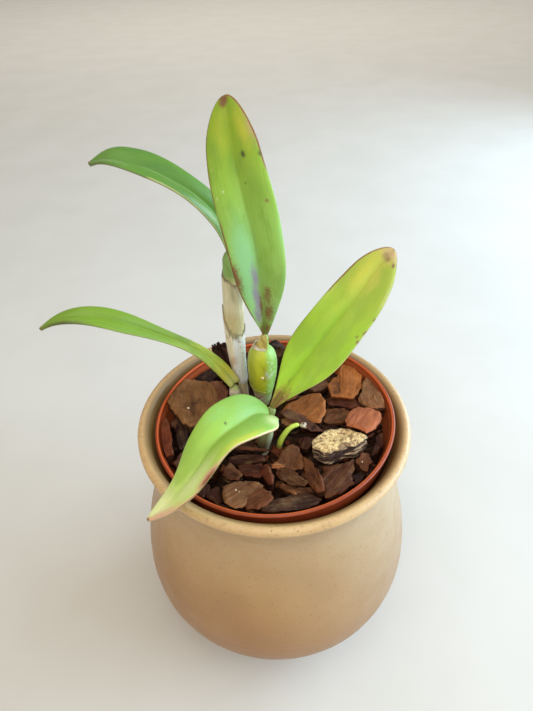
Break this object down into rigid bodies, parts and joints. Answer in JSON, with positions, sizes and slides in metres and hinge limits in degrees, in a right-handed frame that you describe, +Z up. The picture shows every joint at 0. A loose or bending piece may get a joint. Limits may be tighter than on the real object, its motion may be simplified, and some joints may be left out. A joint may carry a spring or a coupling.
{
  "type": "potted cattleya orchid",
  "caption": "Young cattleya orchid without flowers, in a bark-filled plastic grower's pot that hangs in a round stoneware pot.",
  "frame": {"origin": "the stoneware pot's axis, on the flat face that it stands on", "axes": "+Z up along the stoneware pot's axis; the front leaf hangs over the rim at -Y, a little to -X; the tall cane stands at +Y"},
  "size_m": [0.1773, 0.1496, 0.2901],
  "materials": {
    "stoneware": "satin sand-coloured stoneware with fine speckles",
    "orange_plastic": "terracotta-orange moulded plastic, slightly glossy lip",
    "bark": "damp brown conifer bark chips",
    "pale_bark": "rough golden-grey bark",
    "red_bark": "reddish inner bark",
    "dark_bark": "dark frayed bark",
    "bulb_green": "smooth waxy green stem",
    "papery": "dry papery sheath",
    "leaf_green": "leathery waxy leaf, yellow-green with reddish margin",
    "old_leaf_green": "leathery waxy leaf, darker green",
    "root": "dry whitish root skin"
  },
  "bodies": {
    "root": {"cachepot": "stoneware", "nursery_pot": "orange_plastic", "bark_bed": "bark", "bark_chip_pale": "pale_bark", "bark_chip_red": "red_bark", "bark_chip_toothed": "dark_bark", "cane": "bulb_green", "cane_sheath_lower": "papery", "cane_sheath_upper": "papery", "green_bulb": "bulb_green", "green_bulb_sheath": "papery", "green_bulb_collar": "papery", "front_bulb": "bulb_green", "right_bulb": "bulb_green", "left_bulb": "papery", "new_shoot": "leaf_green", "new_shoot_knob": "papery", "rhizome_and_roots": "root", "leaf_on_cane": "old_leaf_green", "leaf_upright": "leaf_green", "leaf_right": "leaf_green", "leaf_left": "leaf_green", "leaf_front": "leaf_green"}
  },
  "joints": []
}
